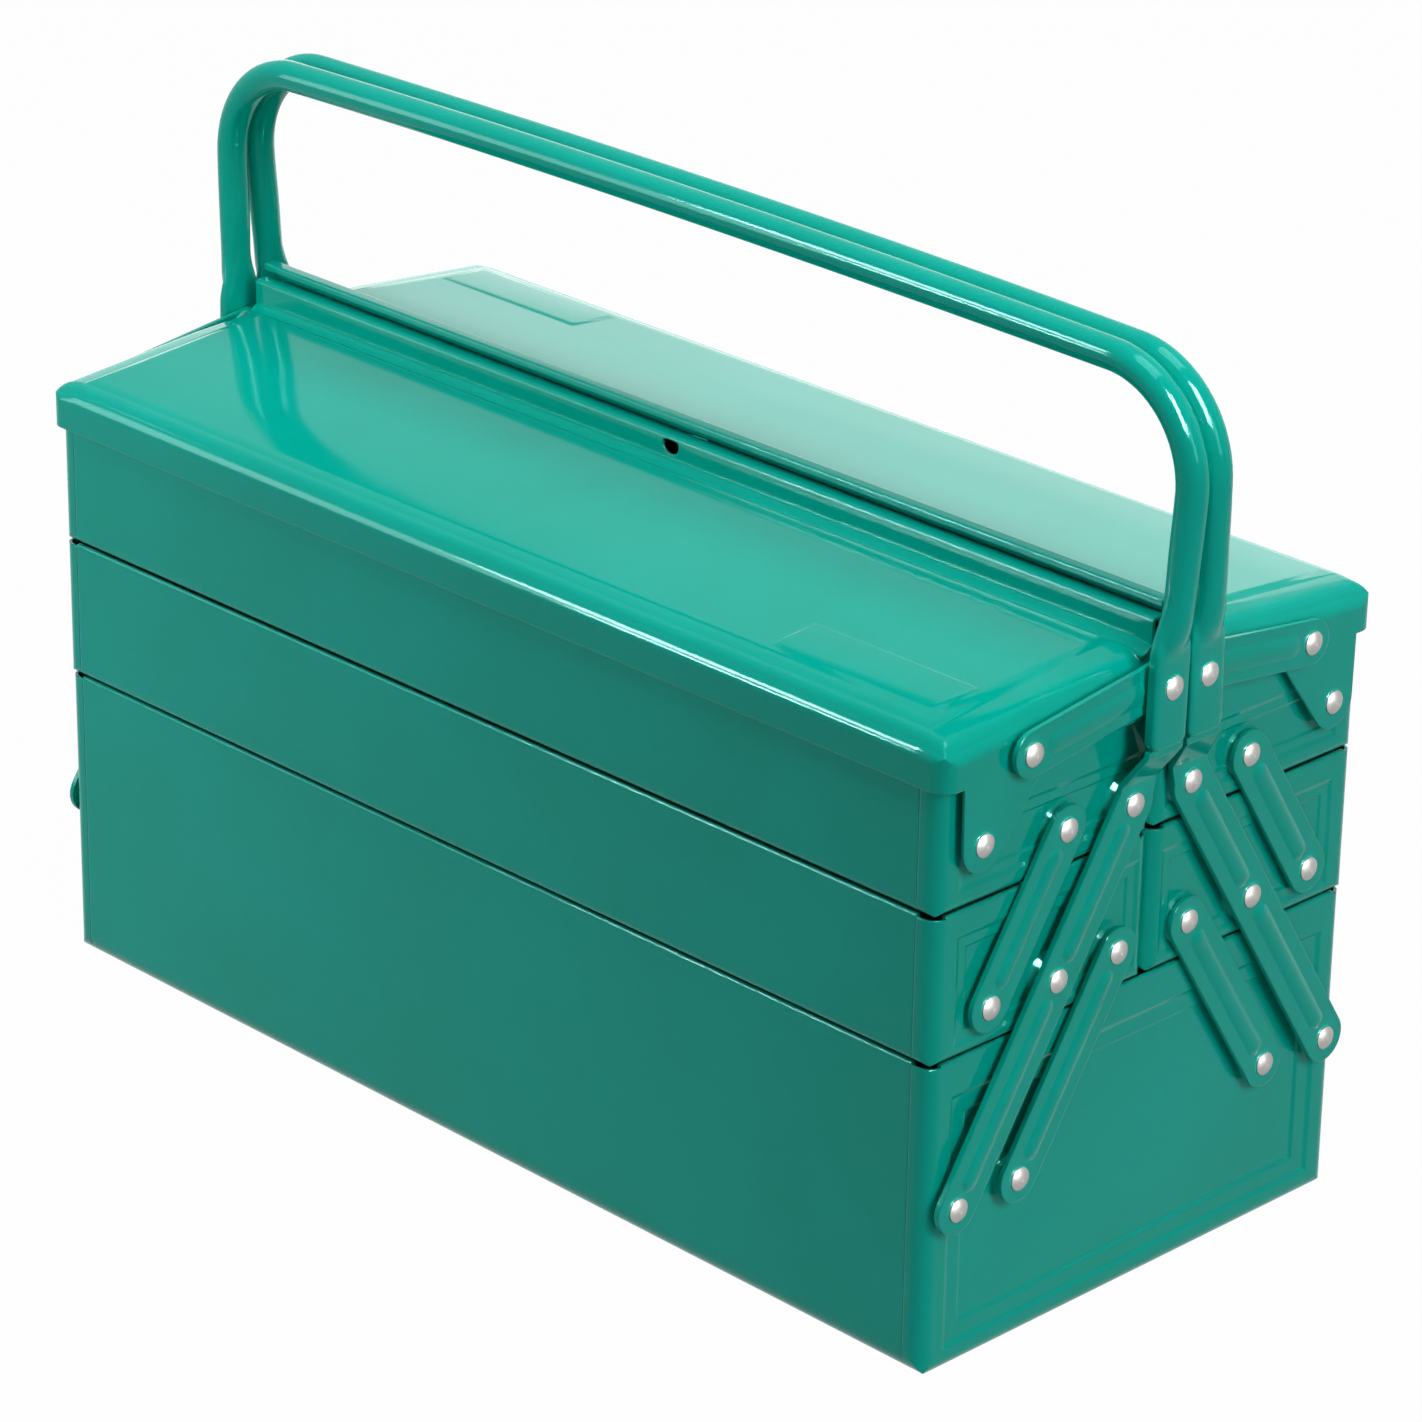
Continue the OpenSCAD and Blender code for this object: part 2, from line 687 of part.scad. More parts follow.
// Outline of a long arm: a straight strip, a neck and the tongue that goes up inside the handle foot
module arm_outline() {
    across = [cos(foot_lean), sin(foot_lean)];
    shoulder = foot_pivot - (foot_below + plate_gap) * foot_axis;
    strip(arm_foot, arm_head, arm_w);
    polygon([arm_head - 0.48 * arm_w * across, arm_head + 0.48 * arm_w * across,
        shoulder + 0.5 * foot_w * across, shoulder - 0.5 * foot_w * across]);
    translate(foot_pivot) rotate(foot_lean) {
        rect([-tongue_w / 2, -foot_below - 2], [tongue_w / 2, foot_above - 2.5]);
    }
}

// Side view of a long arm: flat, then set outward to reach the middle of the handle foot
module arm_side() {
    lower = half_l + arm_in;
    upper = half_l + tongue_in;
    bend_z0 = arm_head[1] + 8;
    bend_z1 = foot_pivot[1] - foot_below - 2;
    drop = arm_t * tan(atan2(upper - lower, bend_z1 - bend_z0) / 2);
    polygon([[lower, 0], [lower, bend_z0], [upper, bend_z1], [upper, bar_z], [upper + arm_t, bar_z],
        [upper + arm_t, bend_z1 - drop], [lower + arm_t, bend_z0 - drop], [lower + arm_t, 0]]);
}

module long_arm(side, end) {
    x0 = half_l + arm_in;
    along = (arm_head - arm_foot) / norm(arm_head - arm_foot);
    stop = head_r + rib_w / 2 + 2.5;
    color(enamel) place(side, end) difference() {
        ribbed(arm_foot + stop * along, arm_mid - stop * along, x0, x0 + arm_t, rib_w, rib_h) {
            ribbed(arm_mid + stop * along, arm_head - stop * along, x0, x0 + arm_t, rib_w, rib_h) {
                intersection() {
                    along_x(x0 - cut, half_l + foot_out) arm_outline();
                    along_y(0, half_w) arm_side();
                }
            }
        }
        for (p = [arm_foot, arm_mid, arm_head]) pin(p, x0 - cut, x0 + arm_t + cut, hole_r);
        pin(foot_pivot, x0 - cut, half_l + foot_out + cut, hole_r);
    }
}

module lower_link(side, end) {
    color(enamel) place(side, end) link(lower_link_foot, lower_link_head);
}

module upper_link(side, end) {
    color(enamel) place(side, end) link(upper_link_foot, upper_link_head);
}

// The lever from the lid ear to the handle foot; its hole at the foot is wide, so it can float there
module lid_lever(side, end) {
    x0 = half_l + lever_in;
    along = (foot_pivot - lever_pivot) / norm(foot_pivot - lever_pivot);
    start = lever_pivot + (head_r + rib_w / 2 + 3) * along;
    stop = foot_pivot - (head_r + rib_w / 2 + 3) * along;
    color(enamel) place(side, end) difference() {
        ribbed(start, stop, x0, x0 + lever_t, rib_w + 1, lever_rib_h) {
            along_x(x0, x0 + lever_t) strip(lever_pivot, foot_pivot, lever_w);
        }
        pin(lever_pivot, x0 - cut, x0 + lever_t + cut, hole_r);
        pin(foot_pivot, x0 - cut, x0 + lever_t + cut, rivet_r + lever_slack);
    }
}

// ---- handles ----

function mix(a, b, u) = a + (b - a) * u;
function ease(u) = u * u * (3 - 2 * u);
function pow_sign(c, e) = sign(c) * pow(abs(c), e);

// One point of the leg section at share u of the blend: the tube's outer face drops late and steeply
// to the flat foot. The section is a hair slimmer than the tube and the foot, and ends inside them.
function leg_point(u, k) =
    let (a = 360 * k / leg_sides,
         e = mix(1, 0.36, ease(u)),
         fit = 0.97,
         outer = mix(leg_x + tube_d / 2, half_l + foot_out, pow(u, 2.5)),
         inner = mix(leg_x - tube_d / 2, half_l + foot_in, ease(u)),
         out = fit * (outer - inner) / 2 * pow_sign(cos(a), e),
         wide = fit * mix(tube_d / 2, foot_w / 2, ease(u)) * pow_sign(sin(a), e))
    [(outer + inner) / 2 + out,
     mix(tube_v, foot_top[0], ease(u)) + wide,
     mix(foot_top[1] + leg_blend + 1, foot_top[1] - 1, u)];

// The stretch of leg where the tube is pressed flat
module leg_blend_solid() {
    n = leg_sides;
    rings = [for (i = [0 : leg_rings]) each [for (k = [0 : n - 1]) leg_point(i / leg_rings, k)]];
    sides = [for (i = [0 : leg_rings - 1]) each [for (k = [0 : n - 1]) each [
        [i * n + k, i * n + (k + 1) % n, (i + 1) * n + (k + 1) % n],
        [i * n + k, (i + 1) * n + (k + 1) % n, (i + 1) * n + k]]]];
    top = [for (k = [0 : n - 1]) n - 1 - k];
    bottom = [for (k = [0 : n - 1]) leg_rings * n + k];
    polyhedron(rings, concat([top], sides, [bottom]));
}

// The flat foot, open below for the tongue of the long arm
module handle_foot() {
    translate([half_l + foot_mid, foot_pivot[0], foot_pivot[1]]) rotate([foot_lean, 0, 0]) difference() {
        intersection() {
            along_z(-foot_below, foot_above) {
                r = 1.6;
                rect([-foot_t / 2, r - foot_w / 2], [foot_t / 2, foot_w / 2 - r]);
                rect([r - foot_t / 2, -foot_w / 2], [foot_t / 2 - r, foot_w / 2]);
                for (x = [r - foot_t / 2, foot_t / 2 - r], v = [r - foot_w / 2, foot_w / 2 - r]) {
                    translate([x, v]) circle(r);
                }
            }
            along_x(-foot_t, foot_t) tub(-foot_w / 2, foot_w / 2, -foot_below, foot_above + cut, 3);
        }
        translate([-arm_t / 2 - tongue_gap, -tongue_w / 2 - tongue_gap, -foot_below - cut]) {
            cube([arm_t + 2 * tongue_gap, tongue_w + 2 * tongue_gap, foot_below + foot_above - 2 + cut]);
        }
        rotate([0, 90, 0]) cylinder(h = foot_t + 2 * cut, r = hole_r, center = true);
    }
}

// A bent tube with two flattened feet
module handle(side) {
    bend_z = bar_z - handle_bend;
    bend_x = leg_x - handle_bend;
    color(enamel) place(side, RIGHT) {
        translate([-bend_x, tube_v, bar_z]) rotate([0, 90, 0]) cylinder(h = 2 * bend_x, d = tube_d);
        both_ends() {
            translate([bend_x, tube_v, bend_z]) rotate([90, 0, 0]) rotate_extrude(angle = 90) {
                translate([handle_bend, 0]) circle(d = tube_d);
            }
            translate([leg_x, tube_v, foot_top[1] + leg_blend]) {
                cylinder(h = bend_z - foot_top[1] - leg_blend, d = tube_d);
            }
            leg_blend_solid();
            handle_foot();
        }
    }
}

// Rivets through the handle feet, the arm tongues and the lid levers
module handle_rivets(side) {
    color(steel) for (end = [LEFT, RIGHT]) place(side, end) {
        rivet(foot_pivot, half_l + wide_washer_in, half_l + foot_out, wide_tail_h);
    }
}

// Wide washers that hold the loose ends of the lid levers on the handle rivets
module handle_washers(side) {
    color(steel) for (end = [LEFT, RIGHT]) place(side, end) {
        washer(foot_pivot, half_l + wide_washer_in, half_l + wide_washer_in + wide_washer_t, wide_washer_r);
    }
}

base_wrap();
base_cap(LEFT);  // base_cap_left
base_cap(RIGHT);  // base_cap_right
base_rivets();
base_washers();

handle(FRONT);  // front_handle
long_arm(FRONT, LEFT);  // front_long_arm_left
long_arm(FRONT, RIGHT);  // front_long_arm_right
handle_rivets(FRONT);  // front_handle_rivets
handle_washers(FRONT);  // front_handle_washers
mid_wrap(FRONT);  // front_mid_wrap
mid_cap(FRONT, LEFT);  // front_mid_cap_left
mid_cap(FRONT, RIGHT);  // front_mid_cap_right
mid_rivets(FRONT);  // front_mid_rivets
mid_washers(FRONT);  // front_mid_washers
top_wrap(FRONT);  // front_top_wrap
top_cap(FRONT, LEFT);  // front_top_cap_left
top_cap(FRONT, RIGHT);  // front_top_cap_right
top_rivets(FRONT);  // front_top_rivets
top_washers(FRONT);  // front_top_washers
lid(FRONT);  // front_lid
lid_rivets(FRONT);  // front_lid_rivets
lower_link(FRONT, LEFT);  // front_lower_link_left
lower_link(FRONT, RIGHT);  // front_lower_link_right
upper_link(FRONT, LEFT);  // front_upper_link_left
upper_link(FRONT, RIGHT);  // front_upper_link_right
lid_lever(FRONT, LEFT);  // front_lid_lever_left
lid_lever(FRONT, RIGHT);  // front_lid_lever_right

handle(BACK);  // back_handle
long_arm(BACK, LEFT);  // back_long_arm_left
long_arm(BACK, RIGHT);  // back_long_arm_right
handle_rivets(BACK);  // back_handle_rivets
handle_washers(BACK);  // back_handle_washers
mid_wrap(BACK);  // back_mid_wrap
mid_cap(BACK, LEFT);  // back_mid_cap_left
mid_cap(BACK, RIGHT);  // back_mid_cap_right
mid_rivets(BACK);  // back_mid_rivets
mid_washers(BACK);  // back_mid_washers
top_wrap(BACK);  // back_top_wrap
top_cap(BACK, LEFT);  // back_top_cap_left
top_cap(BACK, RIGHT);  // back_top_cap_right
top_rivets(BACK);  // back_top_rivets
top_washers(BACK);  // back_top_washers
lid(BACK);  // back_lid
lid_rivets(BACK);  // back_lid_rivets
lower_link(BACK, LEFT);  // back_lower_link_left
lower_link(BACK, RIGHT);  // back_lower_link_right
upper_link(BACK, LEFT);  // back_upper_link_left
upper_link(BACK, RIGHT);  // back_upper_link_right
lid_lever(BACK, LEFT);  // back_lid_lever_left
lid_lever(BACK, RIGHT);  // back_lid_lever_right
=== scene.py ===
"""A cantilever tool box of green enamelled sheet steel, closed, on a pale studio floor.

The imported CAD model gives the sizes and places. This script gives it finishes, and stands finer
meshes in place of the two handles and the two lids. The bow and lean of the handles, and the pitch
and panel height of the lids, are made here and aren't in the CAD model. Lengths are in metres where
nothing else is said; MM turns millimetres to metres.
"""
from math import cos, pi, radians, sin, sqrt

import bmesh
import bpy
from mathutils import Matrix, Vector


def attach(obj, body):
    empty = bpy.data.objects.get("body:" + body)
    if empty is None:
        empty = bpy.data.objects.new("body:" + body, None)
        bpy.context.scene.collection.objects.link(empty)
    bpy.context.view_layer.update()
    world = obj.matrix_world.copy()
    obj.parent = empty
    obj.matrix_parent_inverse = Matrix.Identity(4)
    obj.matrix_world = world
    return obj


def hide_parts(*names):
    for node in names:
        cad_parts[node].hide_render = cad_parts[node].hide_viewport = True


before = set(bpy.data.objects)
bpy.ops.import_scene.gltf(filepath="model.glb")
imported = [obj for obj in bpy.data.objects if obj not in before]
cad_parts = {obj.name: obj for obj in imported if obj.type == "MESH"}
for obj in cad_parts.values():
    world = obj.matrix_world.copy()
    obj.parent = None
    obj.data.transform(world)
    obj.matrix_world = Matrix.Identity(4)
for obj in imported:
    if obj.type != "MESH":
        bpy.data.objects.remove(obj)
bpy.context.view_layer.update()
MM = 0.001
# Points closer than this, in millimetres, are one point
HAIR = 0.001

# The CAD's nodes by finish: rivets and washers are steel, everything else is enamelled
STEEL_NODES = [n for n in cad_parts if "rivets" in n or "washers" in n]
ENAMEL_NODES = [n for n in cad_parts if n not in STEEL_NODES]


# ---- camera ----

# The camera of the photograph, fitted to the lines and rivets of the box: its direction from the
# box and its roll in degrees; a level on the box's middle line, and how far the camera stands back,
# right and up from there, in millimetres; and its lens and the width of its sensor
AZIMUTH, ELEVATION, CAMERA_ROLL = 45.431, 23.383, 0.941
AIM_Z, STAND_BACK, STAND_RIGHT, STAND_UP = 151.88, 1937.27, 9.85, -13.94
LENS, SENSOR = 141.04, 36


def add_camera():
    """Stands the camera where the photograph was taken from."""
    azimuth, elevation, roll = radians(AZIMUTH), radians(ELEVATION), radians(CAMERA_ROLL)
    back = Vector((sin(azimuth) * cos(elevation), -cos(azimuth) * cos(elevation), sin(elevation)))
    right = Vector((cos(azimuth), sin(azimuth), 0))
    up = back.cross(right)
    cam_x = cos(roll) * right + sin(roll) * up
    cam_y = cos(roll) * up - sin(roll) * right
    aim = Vector((0, 0, AIM_Z * MM))
    eye = aim + STAND_BACK * MM * back + STAND_RIGHT * MM * cam_x + STAND_UP * MM * cam_y
    camera = bpy.data.objects.new("camera", bpy.data.cameras.new("camera"))
    bpy.context.scene.collection.objects.link(camera)
    camera.data.sensor_width = SENSOR
    camera.data.lens = LENS
    turn = Matrix((cam_x, cam_y, back)).transposed().to_4x4()
    camera.matrix_world = Matrix.Translation(eye) @ turn
    bpy.context.scene.camera = camera


# ---- materials ----

def linear(hex_colour):
    """An sRGB hex colour as linear RGBA."""
    parts = [int(hex_colour[i:i + 2], 16) / 255 for i in (1, 3, 5)]
    return [p / 12.92 if p <= 0.04045 else ((p + 0.055) / 1.055) ** 2.4 for p in parts] + [1]


def add_node(owner, kind, settings=None, inputs=None):
    """Adds a node; inputs maps a socket's name or number to a value or to another node's output."""
    node = owner.node_tree.nodes.new(kind)
    for name, value in (settings or {}).items():
        setattr(node, name, value)
    for name, value in (inputs or {}).items():
        if isinstance(value, bpy.types.NodeSocket):
            owner.node_tree.links.new(value, node.inputs[name])
        else:
            node.inputs[name].default_value = value
    return node


def new_material(name):
    """A material and its main shader."""
    material = bpy.data.materials.new(name)
    material.use_nodes = True
    return material, material.node_tree.nodes["Principled BSDF"]


def green_enamel():
    """Stoved alkyd enamel, sprayed on pressed steel: a deep, very smooth gloss with faint orange
    peel, soft round edges where the paint draws back, and panels that are never quite flat. A
    real enamel has an IOR near 1.5 and a white gloss. Here the IOR is lower and the gloss is
    tinted, to hold the strong colour of the photograph in a white room."""
    # Sizes in millimetres, as such paint and panels have: the rounding of the edges, the waves in
    # the panels, the orange peel and the drift of the shade; and the depth of waves and peel
    edge_round, wave_size, peel_size, drift_size = 0.8, 55, 2.4, 90
    wave_depth, peel_depth = 0.35, 0.02
    material, shader = new_material("green_enamel")
    place = add_node(material, "ShaderNodeTexCoord").outputs["Object"]
    rounded = add_node(material, "ShaderNodeBevel", {"samples": 6}, {"Radius": edge_round * MM})
    waves = add_node(material, "ShaderNodeTexNoise", {}, {
        "Vector": place, "Scale": 1 / (wave_size * MM), "Detail": 1.0, "Roughness": 0.4})
    wavy = add_node(material, "ShaderNodeBump", {}, {
        "Strength": 0.25, "Distance": wave_depth * MM,
        "Height": waves.outputs[0], "Normal": rounded.outputs[0]})
    peel = add_node(material, "ShaderNodeTexNoise", {}, {
        "Vector": place, "Scale": 1 / (peel_size * MM), "Detail": 2.0, "Roughness": 0.5})
    peeled = add_node(material, "ShaderNodeBump", {}, {
        "Strength": 0.12, "Distance": peel_depth * MM,
        "Height": peel.outputs[0], "Normal": wavy.outputs[0]})
    drift = add_node(material, "ShaderNodeTexNoise", {}, {
        "Vector": place, "Scale": 1 / (drift_size * MM), "Detail": 3.0, "Roughness": 0.6})
    coat = add_node(material, "ShaderNodeValToRGB", {}, {"Fac": drift.outputs[0]})
    for stop, where, shade in zip(coat.color_ramp.elements, (0.3, 0.7), ("#009D8B", "#00A494")):
        stop.position, stop.color = where, linear(shade)
    links = material.node_tree.links
    links.new(coat.outputs[0], shader.inputs["Base Color"])
    links.new(peeled.outputs[0], shader.inputs["Normal"])
    shader.inputs["Roughness"].default_value = 0.09
    shader.inputs["IOR"].default_value = 1.24
    shader.inputs["Specular Tint"].default_value = linear("#A0FFFA")
    return material


def nickel_plate():
    """Nickel-plated steel rivets, headed in a press: a soft bright grey with fine turning marks."""
    # Size and depth of the marks in millimetres, drawn coarser than the real ones so that they show
    mark_size, mark_depth = 0.9, 0.05
    material, shader = new_material("nickel_plate")
    place = add_node(material, "ShaderNodeTexCoord").outputs["Object"]
    marks = add_node(material, "ShaderNodeTexNoise", {}, {
        "Vector": place, "Scale": 1 / (mark_size * MM), "Detail": 3.0, "Roughness": 0.6})
    bump = add_node(material, "ShaderNodeBump", {}, {
        "Strength": 0.2, "Distance": mark_depth * MM, "Height": marks.outputs[0]})
    rough = add_node(material, "ShaderNodeMapRange", {}, {
        "Value": marks.outputs[0], "To Min": 0.32, "To Max": 0.48})
    links = material.node_tree.links
    links.new(bump.outputs[0], shader.inputs["Normal"])
    links.new(rough.outputs[0], shader.inputs["Roughness"])
    shader.inputs["Base Color"].default_value = linear("#989693")
    shader.inputs["Metallic"].default_value = 1.0
    return material


def shown_rays(owner, share):
    """A factor of share for the rays that show the background: from the camera, gloss and glass."""
    path = add_node(owner, "ShaderNodeLightPath")
    total = path.outputs["Is Camera Ray"]
    for name in ("Is Glossy Ray", "Is Transmission Ray"):
        total = add_node(owner, "ShaderNodeMath", {"operation": "ADD"}, {
            0: total, 1: path.outputs[name]}).outputs[0]
    return add_node(owner, "ShaderNodeMath", {"operation": "MULTIPLY", "use_clamp": True}, {
        0: total, 1: share}).outputs[0]


def studio_paper():
    """Matt background paper, shown white to the camera and to gloss. Almost none of the object's
    shadow is left on it, because the photograph shows none."""
    material, shader = new_material("studio_paper")
    shader.inputs["Base Color"].default_value = linear("#565656")
    shader.inputs["Roughness"].default_value = 0.9
    white = add_node(material, "ShaderNodeEmission", {}, {"Color": (1, 1, 1, 1), "Strength": 1.0})
    blend = add_node(material, "ShaderNodeMixShader", {}, {
        0: shown_rays(material, 0.985), 1: shader.outputs[0], 2: white.outputs[0]})
    output = material.node_tree.nodes["Material Output"]
    material.node_tree.links.new(blend.outputs[0], output.inputs["Surface"])
    return material


def paint(piece, material):
    """Gives a piece one material, in place of what it had."""
    piece.data.materials.clear()
    piece.data.materials.append(material)


# ---- stage and light ----

def add_floor():
    """A wide floor, set a hair below the box so that the two never lie in one plane."""
    half, drop = 12.0, 0.3 * MM
    corners = [(-half, -half, 0), (half, -half, 0), (half, half, 0), (-half, half, 0)]
    mesh = bpy.data.meshes.new("floor")
    mesh.from_pydata(corners, [], [(0, 1, 2, 3)])
    floor = bpy.data.objects.new("floor", mesh)
    floor.location.z = -drop
    bpy.context.scene.collection.objects.link(floor)
    paint(floor, studio_paper())


def add_softbox(name, place, aim, size, power, gloss_only=False):
    """A rectangular soft light at place, turned to aim; size is its width and height. A light for
    gloss only shows in reflections and adds nothing to the matt light level."""
    light = bpy.data.lights.new(name, "AREA")
    light.shape = "RECTANGLE"
    light.size, light.size_y = size
    light.energy = power
    lamp = bpy.data.objects.new(name, light)
    lamp.location = place
    lamp.visible_diffuse = not gloss_only
    lamp.rotation_mode = "QUATERNION"
    lamp.rotation_quaternion = (Vector(aim) - Vector(place)).to_track_quat("-Z", "Y")
    bpy.context.scene.collection.objects.link(lamp)


def add_world():
    """An even room light, shown white to the camera and to gloss like the paper."""
    world = bpy.data.worlds.new("world")
    bpy.context.scene.world = world
    world.use_nodes = True
    room = world.node_tree.nodes["Background"]
    room.inputs["Color"].default_value = (1, 1, 1, 1)
    room.inputs["Strength"].default_value = 0.1
    white = add_node(world, "ShaderNodeBackground", {}, {"Color": (1, 1, 1, 1), "Strength": 0.9})
    blend = add_node(world, "ShaderNodeMixShader", {}, {
        0: shown_rays(world, 1.0), 1: room.outputs[0], 2: white.outputs[0]})
    output = world.node_tree.nodes["World Output"]
    world.node_tree.links.new(blend.outputs[0], output.inputs["Surface"])


def add_lights():
    """Three soft lights give the level, and four that only the gloss shows give the highlights."""
    centre = (0, 0, 150 * MM)
    add_softbox("overhead", (0.2, 0, 1.5), centre, (1.0, 0.5), 16.5)
    add_softbox("front_left", (-0.62, -0.58, 0.4), (-0.1, -0.1, 0.15), (0.3, 0.3), 3)
    add_softbox("right", (1.5, -0.1, 0.8), centre, (0.4, 0.8), 10.2)
    # The pale sheen on the lids
    add_softbox("back_card", (-0.42, 0.5, 0.24), (-0.2, 0, 0.22), (1.0, 0.48), 1.9, gloss_only=True)
    # The white streaks on the bends of the handles
    add_softbox("gloss_strip", (1.15, -0.5, 1.3), (0.2, 0, 0.3), (0.5, 0.9), 300, gloss_only=True)
    # The long streak on the right third of the bars
    add_softbox("bar_strip", (-0.85, -1.09, 0.84), (0.15, 0, 0.32), (0.35, 0.2), 21,
                gloss_only=True)
    # The thin line along the front edge of the lid
    add_softbox("edge_strip", (-0.7, -1.05, 0.45), (0.15, -0.1, 0.21), (0.2, 0.08), 7,
                gloss_only=True)


# ---- handles ----

# Lengths in this section and the next are in millimetres.
# The tube: the bar bows up a little along its length, and BAR_GAP keeps the two bars apart
BAR_RADIUS, BAR_Z, BAR_BOW, BAR_GAP = 5.65, 322.6, 2.2, 0.05
BEND_RADIUS = 36
# Each end has its own leg, fitted to its outline in the photograph: its distance from the middle of
# the box, its distance from the middle plane and its radius
LEGS = {1: (231.3, 5.5, 5.4), -1: (232.6, 6.4, 5.6)}
# Where the leg's axis meets the foot, and how late along the leg it leans there in each direction
LEG_FOOT_X, LEG_FOOT_SHIFT, LEAN_LATE, SPREAD_LATE = 228.6, 0.2, 1.3, 1.15
# The flat foot: its middle plane, half its thickness, half its width, and its lowest and highest
# level
FOOT_X, FOOT_THICK, FOOT_WIDE, FOOT_LOW, FOOT_HIGH = 227.95, 2.5, 8, 200.5, 231
FOOT_PIVOT_V, FOOT_PIVOT_Z, FOOT_LEAN = 8.4, 221, radians(1)
# Radius of the foot's two lower corners
CORNER = 3
# A section of the flat foot is a rounded oblong, drawn as an ellipse with its sine and cosine
# raised to this power
SQUARE = 0.36
# The tube's outer side goes on as a bulge below BULGE_TOP: how wide it spreads, in half widths of
# the foot, how far it sinks into the foot, and how soft its crease and the foot's side edges are
BULGE_TOP, BULGE_SPREAD, BULGE_SINK, CREASE_SOFT, EDGE_SOFT = 250, 0.9, 0.3, 0.25, 0.1
# Below CLEAR_FULL the leg's inner side is flat, so that the lid lever passes it when the box opens.
# The photograph doesn't show that side
CLEAR_FULL, CLEAR_TOP = 254, 280
# Half the width of the open slot in the foot
HALF_SLOT = 1.2
# Points round a section, and sections along the half bar, the bend, the leg and the bulge
SECTION = 48
BAR_STEPS, BEND_STEPS, LEG_STEPS, BULGE_STEPS = 16, 20, 6, 20
# Edges that turn more than this many degrees stay sharp
HANDLE_CREASE = 38


def mix(a, b, u):
    return a + (b - a) * u


def clamp(u):
    return min(max(u, 0), 1)


def ease(u):
    u = clamp(u)
    return u * u * (3 - 2 * u)


def soft_max(a, b, reach):
    return (a + b + sqrt((a - b) ** 2 + 4 * reach * reach)) / 2


def turns():
    """The angles of the points round a section."""
    return [2 * pi * k / SECTION for k in range(SECTION)]


def tube_ring(centre, outward, radius):
    """A round section; it starts at the outward side and turns towards +Y."""
    return [centre + radius * (cos(a) * outward + sin(a) * Vector((0, 1, 0))) for a in turns()]


def foot_middle(z):
    """Distance of the leaning foot's middle from the middle plane, at level z."""
    return FOOT_PIVOT_V - (z - FOOT_PIVOT_Z) * sin(FOOT_LEAN)


def leg_axis(end, z):
    """Distance of the leg from the middle of the box and from the middle plane, at level z."""
    leg_x, leg_v, _ = LEGS[end]
    u = clamp((BAR_Z - BEND_RADIUS - z) / (BAR_Z - BEND_RADIUS - FOOT_HIGH - 4))
    return (mix(leg_x, LEG_FOOT_X, u ** LEAN_LATE),
            mix(leg_v, FOOT_PIVOT_V - LEG_FOOT_SHIFT, u ** SPREAD_LATE))


def foot_ring(end, z, shrink=0):
    """A section of the leg between the round tube and the flat foot. The tube's outer side stays
    on as a bulge that drops to the foot in a crease; shrink draws it in for the rolled lip."""
    axis_x, axis_v = leg_axis(end, z)
    radius = LEGS[end][2]
    fade = clamp((BULGE_TOP - z) / (BULGE_TOP - FOOT_HIGH))
    flat = ease(fade)
    power = mix(1, SQUARE, flat)
    foot_v = foot_middle(z)
    drop = (axis_x + radius - FOOT_X - FOOT_THICK + BULGE_SINK) * fade ** 3
    if z < FOOT_HIGH:
        drop = 2 * radius
    below = max(FOOT_LOW + CORNER - z, 0)
    wide = FOOT_WIDE - (CORNER - sqrt(CORNER ** 2 - below ** 2)) - shrink
    edge = soft_max(FOOT_X, axis_x - drop, EDGE_SOFT)
    ring = []
    for a in turns():
        side = sin(a) / max(abs(sin(a)), 1e-9)
        v = mix(axis_v + radius * sin(a), foot_v + wide * side * abs(sin(a)) ** power, flat)
        if cos(a) > 0:
            spread = mix(radius, BULGE_SPREAD * FOOT_WIDE, flat)
            bulge = axis_x - drop + radius * sqrt(max(1 - ((v - axis_v) / spread) ** 2, 0))
            plate = FOOT_X + (FOOT_THICK - shrink) * abs(cos(a)) ** power
            x = soft_max(plate, bulge, CREASE_SOFT * flat) if flat > 0 else bulge
        else:
            clear = max(flat, ease((CLEAR_TOP - z) / (CLEAR_TOP - CLEAR_FULL)))
            inner = mix(axis_x - radius, FOOT_X - FOOT_THICK + shrink, clear)
            x = edge - (edge - inner) * abs(cos(a)) ** power
        ring.append(Vector((x, v, z)))
    return ring


def slot_ring(z, half_width):
    """A section of the open slot in the foot, where the tongue of the long arm goes up."""
    v = foot_middle(z)
    ring = []
    for a in turns():
        c, s = cos(a), sin(a)
        ring.append(Vector((FOOT_X + HALF_SLOT * c * abs(c) ** (SQUARE - 1) if c else FOOT_X,
                            v + (half_width * s * abs(s) ** (SQUARE - 1) if s else 0), z)))
    return ring


